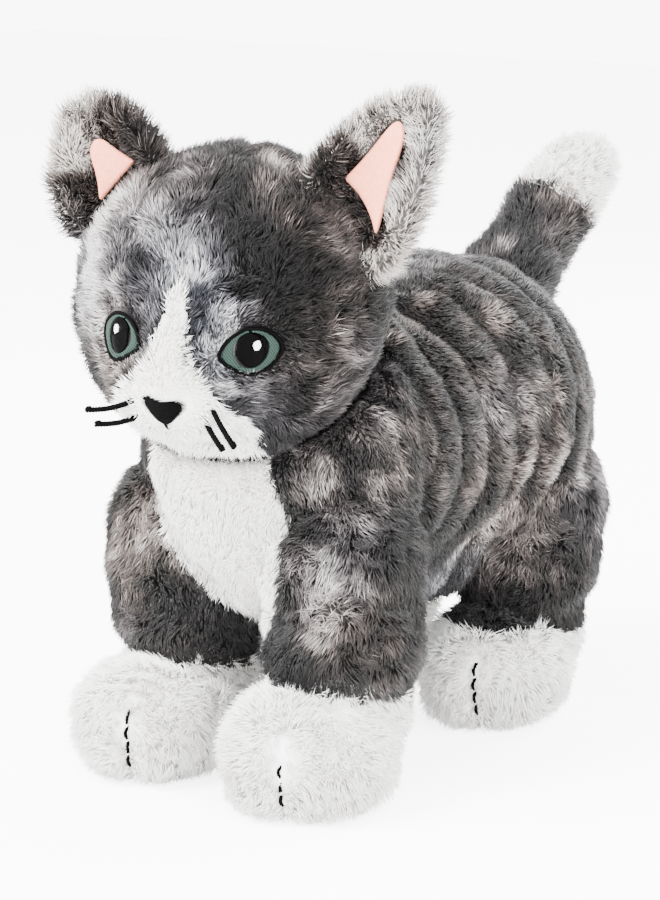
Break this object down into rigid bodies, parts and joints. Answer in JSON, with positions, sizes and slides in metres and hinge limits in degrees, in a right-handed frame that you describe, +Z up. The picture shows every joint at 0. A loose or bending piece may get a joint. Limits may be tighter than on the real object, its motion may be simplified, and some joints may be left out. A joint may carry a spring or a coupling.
{
  "type": "plush cat",
  "caption": "Standing soft plush cat with sewn cover panels over filled head, torso, legs and tail that flex at their seams, and folding ears.",
  "frame": {"origin": "on the floor under the middle of the overall box", "axes": "+Z up, the cat faces -Y, +X is the cat's left"},
  "size_m": [0.1576, 0.3311, 0.2782],
  "materials": {
    "grey_plush": "mottled grey short-pile plush with silver tips",
    "white_plush": "white plush, long pile on the paws, bib and tail tip",
    "pink_fleece": "flat salmon pink fleece",
    "black_thread": "black embroidery thread with a slight sheen",
    "green_thread": "pale green satin-stitched thread",
    "white_thread": "white satin-stitched thread",
    "filling": "white polyester fibre filling"
  },
  "bodies": {
    "torso": {"torso_cover_left": "grey_plush", "torso_cover_right": "grey_plush", "belly_panel": "grey_plush", "chest_bib": "white_plush", "torso_stuffing": "filling"},
    "neck": {"neck_stuffing": "filling"},
    "head": {"head_cover_left": "grey_plush", "head_cover_right": "grey_plush", "head_back_panel": "grey_plush", "face_blaze": "white_plush", "head_stuffing": "filling", "nose_embroidery": "black_thread", "mouth_stitch": "black_thread", "eye_left_outline": "black_thread", "eye_left_iris": "green_thread", "eye_left_pupil": "black_thread", "eye_left_highlight": "white_thread", "eye_right_outline": "black_thread", "eye_right_iris": "green_thread", "eye_right_pupil": "black_thread", "eye_right_highlight": "white_thread", "whiskers_left": "black_thread", "whiskers_right": "black_thread"},
    "ear_left": {"ear_left_back": "grey_plush", "ear_left_lining": "pink_fleece"},
    "ear_right": {"ear_right_back": "grey_plush", "ear_right_lining": "pink_fleece"},
    "leg_front_left": {"leg_front_left_cover": "grey_plush", "leg_front_left_stuffing": "filling", "paw_front_left_cover": "white_plush", "paw_front_left_sole": "pink_fleece", "toe_stitch_front_left": "black_thread"},
    "leg_front_right": {"leg_front_right_cover": "grey_plush", "leg_front_right_stuffing": "filling", "paw_front_right_cover": "white_plush", "paw_front_right_sole": "pink_fleece", "toe_stitch_front_right": "black_thread"},
    "leg_hind_left": {"leg_hind_left_cover": "grey_plush", "leg_hind_left_stuffing": "filling", "paw_hind_left_cover": "white_plush", "paw_hind_left_sole": "pink_fleece", "toe_stitch_hind_left": "black_thread"},
    "leg_hind_right": {"leg_hind_right_cover": "grey_plush", "leg_hind_right_stuffing": "filling", "paw_hind_right_cover": "white_plush", "paw_hind_right_sole": "pink_fleece", "toe_stitch_hind_right": "black_thread"},
    "tail_root": {"tail_root_stuffing": "filling"},
    "tail": {"tail_cover": "grey_plush", "tail_tip_cover": "white_plush", "tail_stuffing": "filling"}
  },
  "joints": [
    {"name": "neck_turn", "type": "hinge", "parent": "torso", "child": "neck", "pos_m": [-0.00282, -0.07133, 0.15], "axis": [0, 0, 1], "range_deg": [-25, 25], "stiffness_Nm_per_rad": 0.6},
    {"name": "head_nod", "type": "hinge", "parent": "neck", "child": "head", "pos_m": [-0.00282, -0.07133, 0.172], "axis": [0.9511, 0.309, 0], "range_deg": [-10, 10], "stiffness_Nm_per_rad": 0.8},
    {"name": "ear_left_fold", "type": "hinge", "parent": "head", "child": "ear_left", "pos_m": [0.04848, -0.06766, 0.23536], "axis": [0.5214, 0.1694, -0.8363], "range_deg": [-20, 20], "stiffness_Nm_per_rad": 0.03},
    {"name": "ear_right_fold", "type": "hinge", "parent": "head", "child": "ear_right", "pos_m": [-0.04823, -0.09909, 0.24336], "axis": [0.6394, 0.2078, 0.7403], "range_deg": [-20, 20], "stiffness_Nm_per_rad": 0.03},
    {"name": "leg_front_left_swing", "type": "hinge", "parent": "torso", "child": "leg_front_left", "pos_m": [0.03618, -0.06633, 0.095], "axis": [1, 0, 0], "range_deg": [-15, 15], "stiffness_Nm_per_rad": 0.8},
    {"name": "leg_front_right_swing", "type": "hinge", "parent": "torso", "child": "leg_front_right", "pos_m": [-0.04182, -0.06633, 0.095], "axis": [1, 0, 0], "range_deg": [-15, 15], "stiffness_Nm_per_rad": 0.8},
    {"name": "leg_hind_left_swing", "type": "hinge", "parent": "torso", "child": "leg_hind_left", "pos_m": [0.03568, 0.06867, 0.095], "axis": [1, 0, 0], "range_deg": [-15, 15], "stiffness_Nm_per_rad": 0.8},
    {"name": "leg_hind_right_swing", "type": "hinge", "parent": "torso", "child": "leg_hind_right", "pos_m": [-0.04132, 0.06867, 0.095], "axis": [1, 0, 0], "range_deg": [-15, 15], "stiffness_Nm_per_rad": 0.8},
    {"name": "tail_swing", "type": "hinge", "parent": "torso", "child": "tail_root", "pos_m": [-0.00282, 0.10667, 0.176], "axis": [0, 0, 1], "range_deg": [-25, 25], "stiffness_Nm_per_rad": 0.1},
    {"name": "tail_lift", "type": "hinge", "parent": "tail_root", "child": "tail", "pos_m": [-0.00282, 0.10667, 0.176], "axis": [1, 0, 0], "range_deg": [-20, 20], "stiffness_Nm_per_rad": 0.1}
  ]
}
